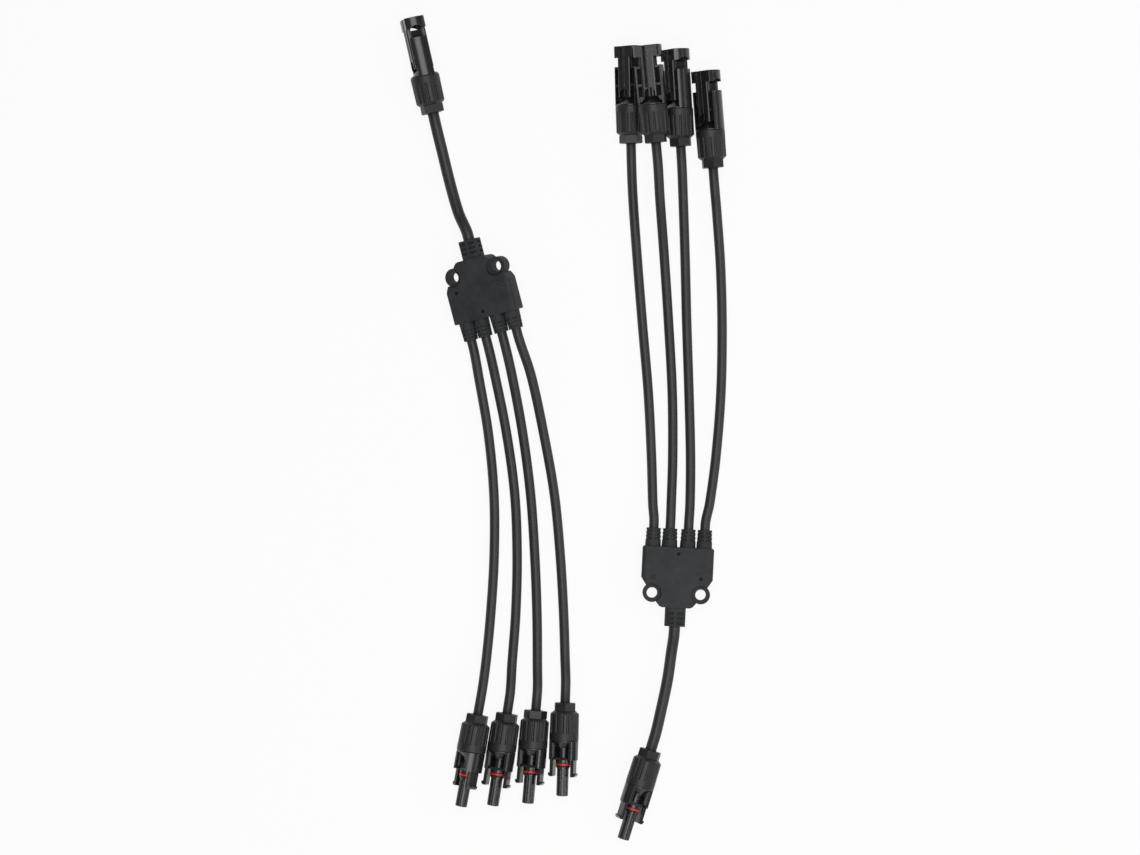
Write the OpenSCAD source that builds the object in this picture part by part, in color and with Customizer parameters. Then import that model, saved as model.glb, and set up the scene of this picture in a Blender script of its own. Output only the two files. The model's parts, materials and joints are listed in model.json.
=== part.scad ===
// Matched pair of four-way branch connector harnesses for solar panel leads.
// Harness A: one socket on its trunk cable, four plugs on its branch cables.
// Harness B: four sockets on its branch cables, one plug on its trunk cable.
// The pair lies on a flat surface at z = 0. Lengths are millimetres, angles degrees.
// A connector is modelled along its own z axis, from the rear of its gland nut (z = 0)
// to its open end, with its two wings or panels at +x and -x.

/* [Cables] */
// Diameter of a branch cable
branch_cable_d = 6.4; // [5.8:0.1:6.6]
// Diameter of a trunk cable
trunk_cable_d = 7.4; // [6.6:0.1:7.6]
// Diameter of a bare branch conductor
branch_core_d = 2.6; // [2:0.1:3]
// Diameter of a bare trunk conductor
trunk_core_d = 3.2; // [2.6:0.1:3.4]
// Length of bare conductor at each cable end
bare_len = 8; // [6:0.5:8.5]

/* [Gland nut] */
// Diameter of the plain collar at the front of the nut
nut_d = 19.2; // [18.6:0.1:19.3]
// Length of the nut, from its hexagonal end to the seam
nut_len = 24.6; // [23.6:0.1:25.6]
// Distance across the flats of the hexagonal end
hex_af = 13.2; // [12.6:0.1:14]
// Length of the hexagonal end
hex_len = 5; // [4.5:0.1:6]
// Length of the sloping shoulder behind the fluted barrel
shoulder_len = 2.2; // [1.5:0.1:2.8]
// Length of the plain collar
collar_len = 4.6; // [3:0.1:5.6]
// Step from the collar down to the fluted barrel
collar_step = 0.1; // [0.05:0.05:0.3]
// How much the radius of the fluted barrel is less at its rear than at the collar
barrel_taper = 0.15; // [0.05:0.05:0.35]
// Depth of the flutes
flute_depth = 0.75; // [0.4:0.05:0.85]
// Radius of the round cutter that makes a flute
flute_r = 0.9; // [0.7:0.1:1.2]
// Number of narrow ribs around the barrel
nut_ribs = 5; // [4:1:6]
// Angle from the middle of a narrow rib to the flute on either side
flute_angle = 10; // [8:1:13]
// Diameter of the cable hole in the hexagonal end
nut_hole_d = 8.2; // [7.8:0.1:9]

/* [Thread and seal] */
// Diameter over the thread of a connector body
thread_d = 15.5; // [15.1:0.1:15.7]
// Depth of the thread
thread_depth = 0.5; // [0.3:0.05:0.7]
// Pitch of the thread
thread_pitch = 1.5; // [1.3:0.1:1.7]
// Length of the threaded tail inside the nut
tail_len = 10; // [9.4:0.1:10.4]
// Outer diameter of the rubber cable seal
seal_d = 10; // [9.6:0.1:10.4]
// Length of the rubber cable seal
seal_len = 9; // [8.5:0.1:9.6]
// Depth of the seal's pocket in the threaded tail
seal_pocket = 4; // [3:0.1:4.5]
// Length of the ring of the clamp cage
cage_ring_len = 2.6; // [2:0.1:3]
// Free length between the end wall of the nut and the fingers of the clamp cage
cage_room = 2.15; // [1.8:0.05:2.4]
// Number of fingers on the clamp cage
cage_fingers = 8; // [6:1:10]

/* [Connector bodies] */
// Thickness of a plug body across its flat faces
plug_thick = 12.8; // [12:0.1:13.6]
// Thickness of a socket body across its flat faces
socket_thick = 13.2; // [12.4:0.1:14]
// Thickness of the wings of a plug
wing_wall = 1.2; // [1:0.1:1.5]
// Length of the round flange against the nut
base_flange = 1; // [0.7:0.1:1.5]
// Length from the seam to the narrow end of the funnel
funnel_len = 6.5; // [5.6:0.1:7]
// Diameter of the waist
waist_d = 6.8; // [6.4:0.1:7.4]

/* [Plug] */
// Length of the wings, from the seam
wing_len = 12.6; // [12:0.1:13.6]
// Thickness of the bridge that joins the wings to the waist
bridge_len = 1.4; // [1:0.1:2]
// Width of that bridge, across the flat faces of the body
bridge_w = 8; // [7.2:0.1:9.6]
// Distance from the ends of the wings to the middle of the O-ring
o_ring_at = 3; // [2.4:0.1:3.4]
// Length from the seam to the tip of the nose
plug_len = 36.4; // [35:0.1:38]
// Diameter of the nose
nose_d = 7.8; // [7.4:0.1:8]
// Number of flutes along the nose
nose_flutes = 10; // [8:1:12]
// Radius of the round cutter that makes a flute along the nose
nose_flute_r = 0.5; // [0.4:0.1:0.6]
// Depth of a flute along the nose
nose_flute_depth = 0.35; // [0.2:0.05:0.45]
// Outer diameter of the O-ring
o_ring_d = 10; // [9.6:0.1:10.2]
// Thickness of the O-ring
o_ring_cord = 1.9; // [1.7:0.1:2]
// Length of a latch arm
arm_len = 11; // [9.6:0.1:11.6]
// Thickness of a latch arm
arm_thick = 2.2; // [1.8:0.1:2.4]
// Width of a latch arm
arm_width = 6.4; // [5.5:0.1:6.8]
// Distance from the axis to the inner face of a latch arm
arm_inner = 6; // [5.7:0.1:6.1]
// How far the hook stands out from the latch arm
hook_out = 1.5; // [1:0.1:1.6]

/* [Socket] */
// Length from the seam to the rim
socket_len = 38.9; // [38:0.1:40]
// Width of the keyed barrel between its side faces
barrel_width = 9.8; // [9.4:0.1:10]
// Distance from the seam to the top of the arch in the rear of the keyed barrel
barrel_start = 11.1; // [10.4:0.1:11.6]
// Width of the key groove along each face of the barrel
key_w = 1.6; // [1:0.1:1.8]
// Depth of the key groove
key_depth = 0.9; // [0.5:0.1:1]
// Distance from the axis to the middle of the key groove
key_at = 1.7; // [1.5:0.1:2]
// Length of the side panels, from the seam
panel_len = 25.5; // [24.5:0.1:26]
// Width of the side panels
panel_width = 10.7; // [9.6:0.1:11.4]
// Distance from the axis to the flat inner face of a side panel
panel_in = 7.4; // [7:0.1:7.6]
// Distance from the seam to the bar that crosses the middle of a side panel's windows
panel_bar_at = 12.4; // [11.4:0.1:13.4]
// Length of that bar, and of the one at the front of the panel
panel_bar_len = 1.5; // [1.2:0.1:1.9]
// Thickness of the web behind the windows of the side panels
web_thick = 1.2; // [0.9:0.1:1.5]
// Length of the front ring
ring_len = 7.5; // [6.5:0.1:8]
// Diameter of the bore that takes a plug nose
socket_bore_d = 8.2; // [8.1:0.1:8.6]
// Depth of that bore from the rim
socket_bore_len = 25.5; // [24:0.1:26]
// Diameter of the contact pin
pin_d = 4; // [3.6:0.1:4.2]

/* [Branch block] */
// Width of the block
block_w = 46.8; // [45.6:0.2:48]
// Length of the block between its two end faces
block_len = 39.5; // [38.5:0.1:41]
// Thickness of the block
block_thick = 14; // [13:0.2:15]
// Radius of the block's long edges
block_edge_r = 3; // [2:0.1:4]
// Width of the end face at the trunk
block_end_w = 20.8; // [18:0.2:22]
// Length of the straight sides
block_side_len = 20.5; // [18:0.1:22]
// Distance between the outer and inner branch cables of one side
branch_pitch = 10.8; // [10.5:0.1:11]
// Distance between the two inner branch cables
branch_gap = 12; // [11.4:0.1:12.4]
// Length of a branch strain relief
branch_relief_len = 12; // [10:0.1:14]
// Diameter of a branch strain relief at the block
branch_relief_d = 10.5; // [10:0.1:10.8]
// Diameter of a branch strain relief at its mouth
branch_relief_tip_d = 9.4; // [8.6:0.1:9.6]
// Length of the trunk strain relief
trunk_relief_len = 12.3; // [10:0.1:14]
// Width of the trunk strain relief
trunk_relief_w = 13.6; // [12.8:0.1:14]
// Thickness of the trunk strain relief
trunk_relief_thick = 11.6; // [11:0.1:12.4]
// Distance between the two screw eyelets
eyelet_span = 31.9; // [31:0.1:33]
// Distance from the branch end face to the screw eyelets
eyelet_at = 30.4; // [29:0.1:31]
// Outer diameter of a screw eyelet
eyelet_d = 12.3; // [11.6:0.1:13]
// Diameter of the screw hole
eyelet_hole_d = 7; // [6:0.1:7.4]
// Thickness of a screw eyelet
eyelet_thick = 7.8; // [6.4:0.1:9]

/* [Hidden] */
node = "all";
$fn = 64;
// Clearance between pieces that only lie beside each other
gap = 0.15;
// Radial clearance between the thread of a body and the bore of its nut
thread_gap = 0.08;
// Overlap that joins two solids of one piece, or clears a cut
eps = 0.05;

// Places of the ten connectors: x, y, height of the axis, heading, roll, turn of the nut
lie_z = nut_d / 2;
stack_z = lie_z + 15.7;
PLUGS = [
    ["a1", [-56.1, -188.4, lie_z, -100.4, 52, -13]],
    ["a2", [-36.9, -187.6, lie_z, -98.9, 20, 20]],
    ["a3", [-18.1, -185.6, lie_z, -94.9, 22, -82]],
    ["a4", [1.1, -180.6, lie_z, -91.9, 18, 69]],
    ["b", [57.1, -211.6, lie_z, -107.2, -27, 69]],
];
SOCKETS = [
    ["a", [-85.4, 205.7, lie_z, 102.8, -76.5, 128]],
    ["b1", [44.25, 185.8, lie_z, 91.4, -36, -23]],
    ["b2", [60.3, 185.3, stack_z, 95.4, -10, -152]],
    ["b3", [76.8, 183.9, lie_z, 93.5, -53, -106]],
    ["b4", [98, 169.8, lie_z, 94.5, -37, 132]],
];
CONNECTORS = concat(PLUGS, SOCKETS);

// Places of the two blocks: x, y, height of the middle plane, turn, tilt about the length
block_a_tilt = 25;
block_a_z = (block_w / 2 - block_edge_r) * sin(block_a_tilt)
    + (block_thick / 2 - block_edge_r) * cos(block_a_tilt) + block_edge_r;
BLOCK_A = [-48.6, 72.2, block_a_z, 14.6, block_a_tilt];
BLOCK_B = [75.4, -78.8, block_thick / 2, 177.15, 0];

// Straight run of a cable behind a nut, and in front of a strain relief
nut_run = 10;
relief_run = 3;
// Cable routes between those two straight runs, from the connector to the block
ROUTES = [
    ["a1", [[-50.9, -155, 5.6], [-47.7, -122, 3.2], [-45.5, -85, 3.2], [-45.6, -45, 3.2],
        [-49.2, -5, 3.2], [-55.6, 33, 5.8]]],
    ["a2", [[-33.7, -155, 5.6], [-31.3, -122, 3.2], [-30.4, -85, 3.2], [-31.9, -45, 3.2],
        [-37.2, -5, 3.8], [-44.7, 33, 8.8]]],
    ["a3", [[-17.1, -155, 5.6], [-17.4, -122, 3.2], [-18.8, -85, 3.2], [-21.5, -45, 3.2],
        [-26.6, -5, 5], [-33.5, 33, 12.4]]],
    ["a4", [[1, -150, 5.6], [0, -120, 3.2], [-2.2, -83, 3.2], [-6, -44, 3.4], [-13, -4, 6.8],
        [-21.2, 34, 15.8]]],
    ["b1", [[45.6, 150, 5.4], [48.3, 112, 3.2], [51.8, 68, 3.2], [55.7, 22, 3.2],
        [57.8, -20, 3.4], [58.6, -50, 5.8]]],
    ["b2", [[63, 149, 20.2], [66, 112, 8.4], [69, 68, 3.2], [71.4, 22, 3.2], [71.7, -20, 3.4],
        [70.7, -50, 5.8]]],
    ["b3", [[78.5, 150, 5.6], [79.8, 112, 3.2], [80.9, 68, 3.2], [82.4, 22, 3.2],
        [83.4, -20, 3.4], [83, -50, 5.8]]],
    ["b4", [[100.6, 140, 5.6], [103.1, 105, 3.2], [104.1, 65, 3.2], [103.3, 22, 3.2],
        [100, -20, 3.4], [95.9, -50, 5.8]]],
    ["a_trunk", [[-79.3, 180, 7.6], [-74.4, 160, 7.4], [-68.6, 140, 11]]],
    ["b_trunk", [[63.9, -186, 7.2], [68.2, -166, 4.6], [70.8, -148, 4.8]]],
];
tube_sides = 10;

// Worked out along a connector's axis
seam = nut_len;
seam_gap = 0.1;
body_start = seam + seam_gap;
tail_start = seam - tail_len;
hex_r = hex_af / 2 / cos(30);
shoulder_end = hex_len + shoulder_len;
flute_end = nut_len - collar_len;
barrel_r = nut_d / 2 - collar_step;
barrel_rear_r = barrel_r - barrel_taper;
thread_bore_r = thread_d / 2 + thread_gap;
seal_end = tail_start + seal_pocket;
seal_start = seal_end - seal_len;
cage_end = tail_start - gap;
cage_ring_start = cage_end - cage_ring_len;
cage_start = hex_len + cage_room;
cage_tip = [0.5, 1.5];
cage_r = thread_bore_r - gap;
// The bore of the nut is at its full width just in front of the tips of the fingers
thread_bore_start = cage_start + cage_tip[1] + gap;
cage_bore_r = seal_d / 2 + 2 * gap;
cage_finger_r = cage_bore_r + 1.2;
cable_end = seam - 4.6;
core_end = cable_end + bare_len;
// The contact's collar rests on a step in the body's bore
step_z = seam + 3.2;
rear_bore_r = trunk_cable_d / 2 + seam_gap;
contact_r = 2.5;
contact_bore_r = contact_r + seam_gap;
contact_collar_len = 1.4;
contact_mid = step_z + 8;
crimp_start = cable_end + 0.6;
funnel_end = seam + funnel_len;

wing_end = seam + wing_len;
bridge_start = wing_end - bridge_len;
nose_tip = seam + plug_len;
ring_seat = wing_end + o_ring_at;
o_ring_r = (o_ring_d - o_ring_cord) / 2;
// The O-ring just clears the floor and the walls of its groove
o_ring_gap = 0.02;
o_ring_seat_r = o_ring_r - o_ring_cord / 2 - o_ring_gap;
arm_start = wing_end + seam_gap;
arm_end = arm_start + arm_len;
hook_len = 2.4;
hook_start = arm_end - hook_len;
pin_hole_r = pin_d / 2 + seam_gap;
tube_end = nose_tip - 2.2;

rim = seam + socket_len;
ring_start = rim - ring_len;
panel_end = seam + panel_len;
barrel_z = seam + barrel_start;
barrel_foot = funnel_end - 1.2;
arm_slot_half = arm_inner + arm_thick + 0.3;
arm_slot_width = arm_width + 0.8;
pin_tip = rim - 9;

branch_at = [for (s = [-1, 1]) for (p = [0, 1]) s * (branch_gap / 2 + p * branch_pitch)];
splice_start = 10;
splice_bar = [15, 21];
splice_end = 28;
crimp_wall = 1;
// Where the jackets of the cables end inside the block
jacket_back = 0.6;
branch_cable_end = splice_start - jacket_back;
trunk_cable_end = splice_end + jacket_back;

// The value that goes with a name in a list of [name, value] pairs
function value_of(list, name) = [for (pair = list) if (pair[0] == name) pair[1]][0];

// A point on a connector's axis, at a distance z from the rear of its nut
function axis_point(place, z) = [
    place[0] + z * cos(place[3]),
    place[1] + z * sin(place[3]),
    place[2],
];

// A point u across and v along the middle plane of a block, v = 0 at the branch end face
function block_point(place, u, v) = [
    place[0] + u * cos(place[4]) * cos(place[3]) - v * sin(place[3]),
    place[1] + u * cos(place[4]) * sin(place[3]) + v * cos(place[3]),
    place[2] + u * sin(place[4]),
];

// All points that one branch cable follows, from its end in the connector to its end in the block
function branch_route(name, connector, block, u) = concat(
    [axis_point(connector, cable_end), axis_point(connector, -nut_run)],
    value_of(ROUTES, name),
    [
        block_point(block, u, -branch_relief_len - relief_run),
        block_point(block, u, branch_cable_end),
    ]
);

// All points that one trunk cable follows
function trunk_route(name, connector, block) = concat(
    [axis_point(connector, cable_end), axis_point(connector, -nut_run + 2)],
    value_of(ROUTES, name),
    [
        block_point(block, 0, block_len + trunk_relief_len + relief_run),
        block_point(block, 0, trunk_cable_end),
    ]
);

// Direction of the path at point i, half way between its two neighbours
function unit(v) = v / norm(v);
function path_dir(path, i) =
    i <= 1 ? unit(path[1] - path[0]) :
    i >= len(path) - 2 ? unit(path[len(path) - 1] - path[len(path) - 2]) :
    unit(path[i + 1] - path[i - 1]);

// A plain round tube along a path of points
module tube(path, d) {
    n = tube_sides;
    points = [
        for (i = [0:len(path) - 1])
        let (along = path_dir(path, i), across = unit(cross([0, 0, 1], along)), up = cross(along, across))
        for (k = [0:n - 1])
        let (a = 360 * k / n)
        path[i] + d / 2 * (cos(a) * across + sin(a) * up)
    ];
    sides = [
        for (i = [0:len(path) - 2])
        for (k = [0:n - 1])
        let (next = (k + 1) % n)
        each [
            [i * n + k, i * n + next, (i + 1) * n + next],
            [i * n + k, (i + 1) * n + next, (i + 1) * n + k],
        ]
    ];
    first = [for (k = [n - 1:-1:0]) k];
    last = [for (k = [0:n - 1]) (len(path) - 1) * n + k];
    polyhedron(points, [for (face = concat(sides, [first, last])) [for (k = [len(face) - 1:-1:0]) face[k]]]);
}

// Puts a connector at its place, with its own z axis along its heading
module at_connector(place) {
    translate([place[0], place[1], place[2]])
        rotate([0, 0, place[3] + 90])
            rotate([90, 0, 0])
                rotate([0, 0, place[4]])
                    children();
}

// Puts a block at its place
module at_block(place) {
    translate([place[0], place[1], place[2]])
        rotate([0, 0, place[3]])
            rotate([0, -place[4], 0])
                children();
}

module cut_bore(r, from, to) {
    translate([0, 0, from])
        cylinder(h = to - from, r = r);
}

// Both sides, at +x and at -x
module both_sides() {
    children();
    mirror([1, 0, 0])
        children();
}

// Gland nut: hexagonal tail, sloping shoulder, fluted barrel and plain collar
module gland_nut(turn) {
    edge = 0.4;
    shoulder_lip = 0.3;
    // The flutes stop just short of the collar
    flute_stop = 0.3;
    color("#38393b")
        rotate([0, 0, turn])
            difference() {
                union() {
                    intersection() {
                        cylinder(h = hex_len + eps, r = hex_r, $fn = 6);
                        rotate_extrude()
                            polygon([[0, 0], [hex_r - edge, 0], [hex_r + edge, 2 * edge],
                                [hex_r + edge, hex_len + eps], [0, hex_len + eps]]);
                    }
                    rotate_extrude()
                        polygon([[0, hex_len], [hex_af / 2 + shoulder_lip, hex_len],
                            [barrel_rear_r - shoulder_lip, shoulder_end - edge],
                            [barrel_rear_r, shoulder_end], [barrel_r, flute_end], [nut_d / 2, flute_end],
                            [nut_d / 2, nut_len - edge], [nut_d / 2 - edge, nut_len], [0, nut_len]]);
                }
                // A flute on either side of each narrow rib, and one half way to the next rib
                for (rib = [0:nut_ribs - 1])
                    for (angle = [-flute_angle, flute_angle, 180 / nut_ribs])
                        rotate([0, 0, rib * 360 / nut_ribs + angle])
                            translate([barrel_r + flute_r - flute_depth, 0, hex_len])
                                cylinder(h = flute_end - flute_stop - hex_len, r = flute_r);
                rotate_extrude()
                    polygon([[0, -1], [nut_hole_d / 2, -1], [nut_hole_d / 2, hex_len],
                        [cage_bore_r, hex_len], [thread_bore_r, thread_bore_start],
                        [thread_bore_r, nut_len + 1], [0, nut_len + 1]]);
            }
}

// Clamp cage: a ring with a row of slit fingers that the nut closes on the seal
module clamp_cage() {
    slit = 0.9;
    slit_stop = 0.3;
    color("#4a4b4d")
        difference() {
            rotate_extrude()
                polygon([[cage_bore_r, cage_start], [cage_finger_r - cage_tip[0], cage_start],
                    [cage_finger_r, cage_start + cage_tip[1]], [cage_finger_r, cage_ring_start],
                    [cage_r, cage_ring_start], [cage_r, cage_end], [cage_bore_r, cage_end]]);
            for (i = [0:cage_fingers - 1])
                rotate([0, 0, i * 360 / cage_fingers])
                    translate([0, -slit / 2, cage_start - 1])
                        cube([cage_finger_r + 1, slit, cage_ring_start - cage_start - slit_stop + 1]);
        }
}

// Rubber seal that grips the cable
module cable_seal(cable_d) {
    color("#1c1c1c")
        difference() {
            cut_bore(seal_d / 2, seal_start, seal_end);
            cut_bore(cable_d / 2, seal_start - 1, seal_end + 1);
        }
}

// Threaded tail of a body, inside the nut; the thread is a row of rings
module threaded_tail() {
    root_r = thread_d / 2 - thread_depth;
    lead_in = 0.6;
    run_out = 1.4;
    rings = floor((tail_len - lead_in - run_out) / thread_pitch);
    cut_bore(root_r, tail_start, body_start + eps);
    for (i = [0:rings - 1])
        translate([0, 0, tail_start + lead_in + i * thread_pitch])
            cylinder(h = thread_pitch / 2, r = thread_d / 2);
}

// Rear bores of a body: seal pocket, cable bore and contact bore
module rear_bores(contact_bore_end) {
    cut_bore(seal_d / 2, tail_start - 1, seal_end);
    cut_bore(rear_bore_r, seal_end - eps, step_z);
    cut_bore(contact_bore_r, step_z - eps, contact_bore_end);
}

// The round outline of a body, cut flat at both faces
module flat_sided(thick, from, to) {
    intersection() {
        cut_bore(nut_d / 2, from, to);
        translate([-nut_d, -thick / 2, from - 1])
            cube([2 * nut_d, thick, to - from + 2]);
    }
}

// Round flange against the nut, and the funnel that narrows from it to the waist
module funnel() {
    flange_r = nut_d / 2 - 0.4;
    flange_edge = 0.5;
    slope_in = 1.2;
    neck = [1.3, 1.9];
    rotate_extrude()
        polygon([[0, body_start], [flange_r, body_start],
            [flange_r, body_start + base_flange - flange_edge],
            [flange_r - flange_edge, body_start + base_flange],
            [flange_r - slope_in, body_start + base_flange],
            [waist_d / 2 + neck[0], funnel_end - neck[1]], [waist_d / 2, funnel_end], [0, funnel_end]]);
}

// Wing of a plug at +x, a curved wall
module wing(width, from, to) {
    intersection() {
        difference() {
            cut_bore(nut_d / 2, from, to);
            cut_bore(nut_d / 2 - wing_wall, from - 1, to + 1);
        }
        translate([0, -width / 2, from - 1])
            cube([nut_d, width, to - from + 2]);
    }
}

// Side panel of a socket at +x, round outside and flat inside
module side_panel() {
    intersection() {
        cut_bore(nut_d / 2, body_start, panel_end);
        translate([panel_in, -panel_width / 2, body_start - 1])
            cube([nut_d, panel_width, panel_end - body_start + 2]);
    }
}

module plug_body() {
    waist_ring = 0.5;
    waist_ring_len = 0.9;
    waist_rings_at = [1.2, 3.4];
    neck_r = o_ring_d / 2 - 0.15;
    groove_start = ring_seat - o_ring_cord / 2 - o_ring_gap;
    groove_end = ring_seat + o_ring_cord / 2 + o_ring_gap;
    lip = [0.2, 0.8];
    nose_start = groove_end + 2;
    nose_edge = 0.5;
    nose_wall = 1.4;
    color("#2c2d2f")
        difference() {
            union() {
                threaded_tail();
                funnel();
                cut_bore(waist_d / 2, body_start, wing_end);
                for (at = waist_rings_at)
                    cut_bore(waist_d / 2 + waist_ring, funnel_end + at, funnel_end + at + waist_ring_len);
                both_sides()
                    wing(plug_thick, body_start, wing_end);
                flat_sided(bridge_w, bridge_start, wing_end);
                // Shank, seat of the O-ring and nose
                rotate_extrude()
                    polygon([[0, wing_end - eps], [neck_r, wing_end - eps], [neck_r, groove_start],
                        [o_ring_seat_r, groove_start], [o_ring_seat_r, groove_end], [neck_r, groove_end],
                        [neck_r - lip[0], groove_end + lip[1]], [nose_d / 2, nose_start],
                        [nose_d / 2, nose_tip - nose_edge], [nose_d / 2 - nose_edge, nose_tip],
                        [0, nose_tip]]);
            }
            rear_bores(nose_tip - nose_wall);
            cut_bore(pin_hole_r + seam_gap, nose_tip - nose_wall - 1, nose_tip + 1);
            for (i = [0:nose_flutes - 1])
                rotate([0, 0, (i + 0.5) * 360 / nose_flutes])
                    translate([nose_d / 2 + nose_flute_r - nose_flute_depth, 0, nose_start + nose_edge])
                        cylinder(h = nose_tip - nose_start, r = nose_flute_r);
        }
}

// Latch arm at +x, with its hook turned outwards
module latch_arm() {
    outer = arm_inner + arm_thick;
    hook_flat = 0.9;
    // The hook stands out a little past the nut
    hook_past = 0.2;
    edge = 0.3;
    color("#2c2d2f")
        intersection() {
            rotate([90, 0, 0])
                linear_extrude(height = arm_width, center = true)
                    polygon([[arm_inner, arm_start], [outer, arm_start], [outer, hook_start],
                        [outer + hook_out, hook_start], [outer + hook_out, hook_start + hook_flat],
                        [outer, arm_end], [arm_inner + edge, arm_end], [arm_inner, arm_end - edge]]);
            cut_bore(nut_d / 2 + hook_past, arm_start - 1, arm_end + 1);
        }
}

module o_ring() {
    color("#c21f33")
        translate([0, 0, ring_seat])
            rotate_extrude()
                translate([o_ring_r, 0])
                    circle(d = o_ring_cord);
}

// Crimp barrel and collar that both kinds of contact share
module contact_tail(core_d) {
    difference() {
        union() {
            cut_bore(contact_r, crimp_start, contact_mid);
            cut_bore(rear_bore_r - seam_gap, step_z - contact_collar_len, step_z);
        }
        cut_bore(core_d / 2, crimp_start - 1, core_end);
    }
}

module tube_contact(core_d) {
    color("#c9c4b8") {
        contact_tail(core_d);
        difference() {
            cut_bore(contact_r, contact_mid - eps, tube_end);
            cut_bore(pin_hole_r, contact_mid + 2, nose_tip);
        }
    }
}

module pin_contact(core_d) {
    shoulder = [0.6, 1.2];
    point = [0.7, 1];
    color("#c9c4b8") {
        contact_tail(core_d);
        rotate_extrude()
            polygon([[0, contact_mid - eps], [contact_r, contact_mid - eps],
                [contact_r, contact_mid + shoulder[0]], [pin_d / 2, contact_mid + shoulder[1]],
                [pin_d / 2, pin_tip - point[1]], [pin_d / 2 - point[0], pin_tip], [0, pin_tip]]);
    }
}

// A flat bar with round long edges, for the keyed barrel, the block and its trunk strain relief
module round_bar(w, t, r) {
    square([w - 2 * r, t], center = true);
    square([w, t - 2 * r], center = true);
    for (x = [-1, 1])
        for (y = [-1, 1])
            translate([x * (w / 2 - r), y * (t / 2 - r)])
                circle(r = r);
}

// The keyed barrel, with an arch cut in its rear end around the waist
module keyed_barrel() {
    edge = 1.2;
    arch_r = waist_d / 2 + seam_gap;
    difference() {
        translate([0, 0, barrel_foot])
            linear_extrude(height = rim - barrel_foot)
                round_bar(barrel_width, socket_thick, edge);
        translate([0, 0, barrel_z - arch_r])
            rotate([90, 0, 0])
                cylinder(h = 2 * socket_thick, r = arch_r, center = true);
        translate([-arch_r, -socket_thick, barrel_foot - 1])
            cube([2 * arch_r, 2 * socket_thick, barrel_z - arch_r - barrel_foot + 1]);
    }
}

module socket_body() {
    rib = [-0.6, 0.5];
    rib_up = 0.25;
    waist_rib = 1.1;
    waist_ribs_at = [-1.9, 0.4];
    bar_thick = panel_width - 0.6;
    scoop_r = 5.4;
    scoop_depth = 2;
    mouth_len = 4;
    edge = 0.3;
    color("#2c2d2f")
        difference() {
            union() {
                threaded_tail();
                funnel();
                cut_bore(waist_d / 2, body_start, barrel_z + 1);
                keyed_barrel();
                // On each face, two ribs along the waist, and a thin rib beside the key groove
                for (turn = [0, 180])
                    rotate([0, 0, turn]) {
                        for (x = waist_ribs_at)
                            translate([x - waist_rib / 2, 0, funnel_end - 1])
                                cube([waist_rib, socket_thick / 2 - 1, barrel_z - funnel_end + 2]);
                        translate([rib[0], 0, barrel_z + edge])
                            cube([rib[1] - rib[0], socket_thick / 2 + rib_up, rim - barrel_z - edge]);
                    }
                flat_sided(socket_thick, ring_start, rim);
                both_sides()
                    side_panel();
                for (at = [seam + panel_bar_at, panel_end - panel_bar_len])
                    flat_sided(bar_thick, at, at + panel_bar_len);
                flat_sided(web_thick, body_start, panel_end);
            }
            rear_bores(rim);
            cut_bore(socket_bore_d / 2, rim - socket_bore_len, rim + 1);
            cut_bore(o_ring_d / 2 - eps, rim - mouth_len, rim + 1);
            // Slots for the latch arms through the front ring
            translate([-arm_slot_half, -arm_slot_width / 2, ring_start - 1])
                cube([2 * arm_slot_half, arm_slot_width, ring_len + 2]);
            // Key groove beside the rib on each face
            for (turn = [0, 180])
                rotate([0, 0, turn])
                    translate([key_at - key_w / 2, socket_thick / 2 - key_depth, barrel_foot])
                        cube([key_w, 2, rim]);
            // Scooped rear edge of the front ring, at both panels
            translate([-nut_d, 0, ring_start + scoop_depth - scoop_r])
                rotate([0, 90, 0])
                    difference() {
                        cylinder(h = 2 * nut_d, r = scoop_r);
                        translate([-nut_d, -nut_d, nut_d - barrel_width / 2 - eps])
                            cube([2 * nut_d, 2 * nut_d, barrel_width + 2 * eps]);
                        translate([0, -nut_d, -1])
                            cube([nut_d, 2 * nut_d, 2 * nut_d + 2]);
                    }
        }
}

// The block's outline from above, its corners rounded
module block_outline() {
    side = block_w / 2;
    end = block_end_w / 2;
    r = 1.2;
    end_r = 2.4;
    // How far the corners at the trunk end stand out from the end face, and lie back from it
    corner = [[2.6, 3.2], [0.6, 0.8]];
    right = [
        [side - r, 0],
        [side, r],
        [side, block_side_len],
        [end + corner[0][0], block_len - corner[0][1]],
        [end + corner[1][0], block_len - corner[1][1]],
        [end - r, block_len],
    ];
    left = [for (i = [len(right) - 1:-1:0]) [-right[i][0], right[i][1]]];
    polygon(concat(right, left));
    for (s = [-1, 1]) {
        translate([s * (side - r), r])
            circle(r = r);
        translate([s * (end - end_r + corner[1][1]), block_len - end_r])
            circle(r = end_r);
    }
}

// Branch strain relief, pointing away from the block along -y
module branch_relief() {
    slot_len = 1.2;
    slot_pitch = 2.5;
    first_slot = 1.2;
    slot_depth = 0.8;
    web = 1.7;
    root = branch_relief_d / 2;
    tip = branch_relief_tip_d / 2;
    rotate([90, 0, 0])
        difference() {
            translate([0, 0, -1])
                cylinder(h = branch_relief_len + 1, r1 = root, r2 = tip);
            for (row = [0:2])
                translate([0, 0, branch_relief_len - first_slot - slot_len - row * slot_pitch])
                    difference() {
                        cylinder(h = slot_len, r = root + 1);
                        translate([0, 0, -1])
                            cylinder(h = slot_len + 2, r = tip - slot_depth);
                        for (i = [0:2])
                            rotate([0, 0, 90 + i * 60])
                                translate([-root - 2, -web / 2, -1])
                                    cube([2 * root + 4, web, slot_len + 2]);
                    }
        }
}

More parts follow.
